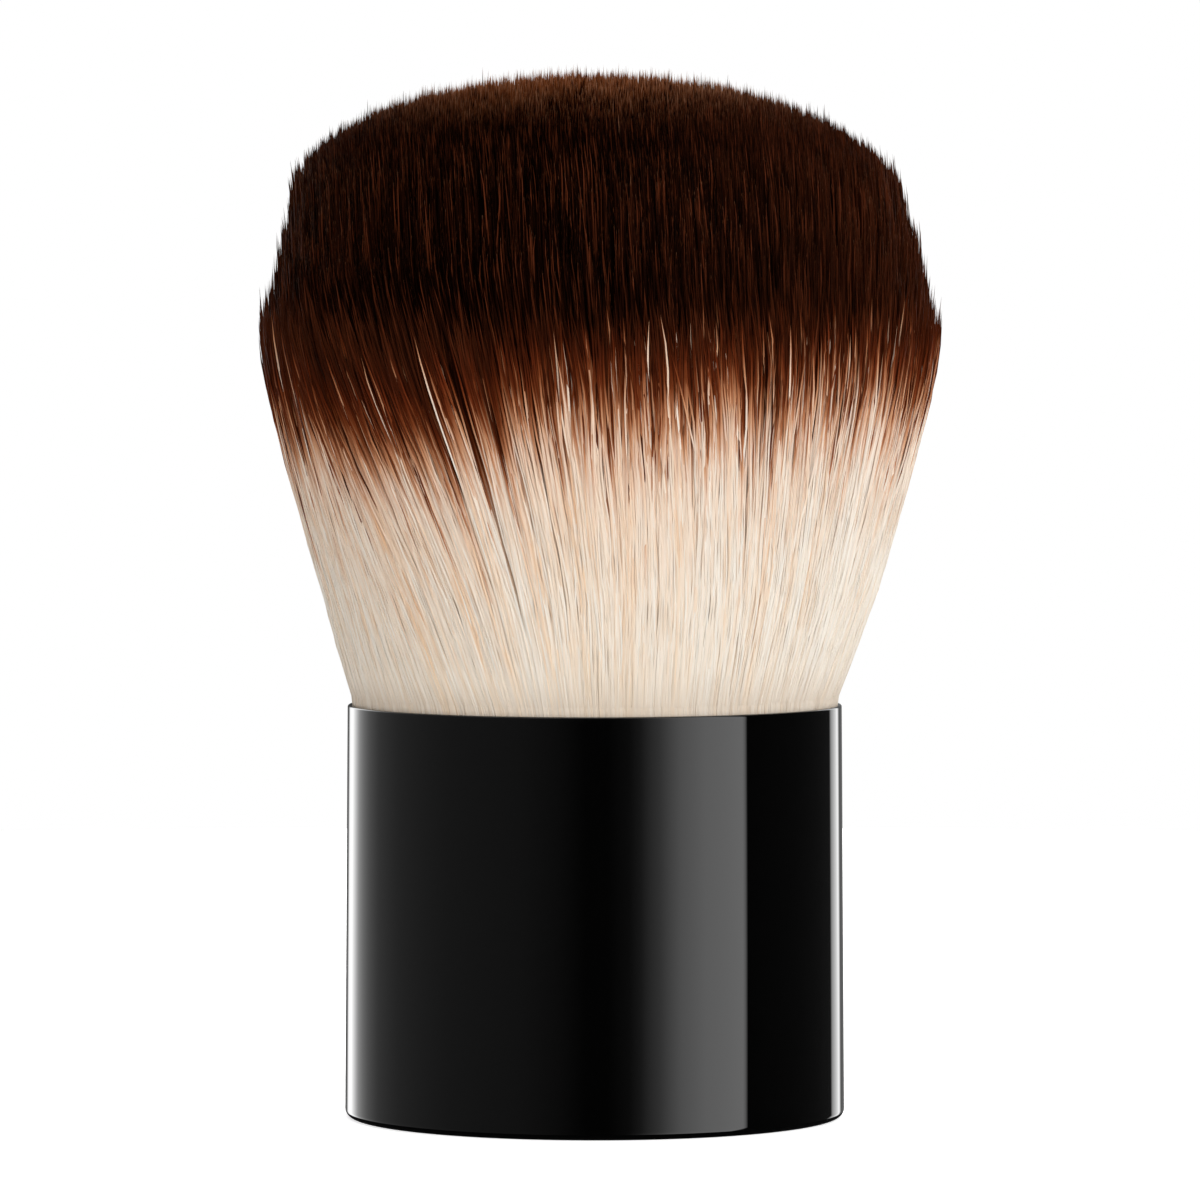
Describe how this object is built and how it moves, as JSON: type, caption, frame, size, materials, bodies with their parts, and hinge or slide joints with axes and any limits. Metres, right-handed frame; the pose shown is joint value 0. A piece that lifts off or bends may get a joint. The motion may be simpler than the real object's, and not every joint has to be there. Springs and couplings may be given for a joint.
{
  "type": "makeup brush",
  "caption": "Short-handled kabuki makeup brush: a dense domed head of dip-dyed filaments flares from a glossy black cylindrical handle that stands on its flat base.",
  "frame": {"origin": "centre of the flat base that the brush stands on", "axes": "+Z along the brush's axis, from the base up through the head; the pictured side faces -Y"},
  "size_m": [0.0474, 0.0474, 0.0729],
  "materials": {
    "black_lacquer": "gloss",
    "tape": "matte",
    "weight_steel": "satin",
    "core_abs": "satin",
    "ferrule_aluminium": "satin",
    "cured_epoxy": "gloss",
    "binding_thread": "matte",
    "dyed_filament": "satin"
  },
  "bodies": {
    "root": {"handle_shell": "black_lacquer", "weight_tape": "tape", "base_weight": "weight_steel", "handle_core": "core_abs", "hair_ferrule": "ferrule_aluminium", "assembly_glue": "cured_epoxy", "root_resin": "cured_epoxy", "root_binding": "binding_thread", "bristle_head": "dyed_filament"}
  },
  "joints": []
}
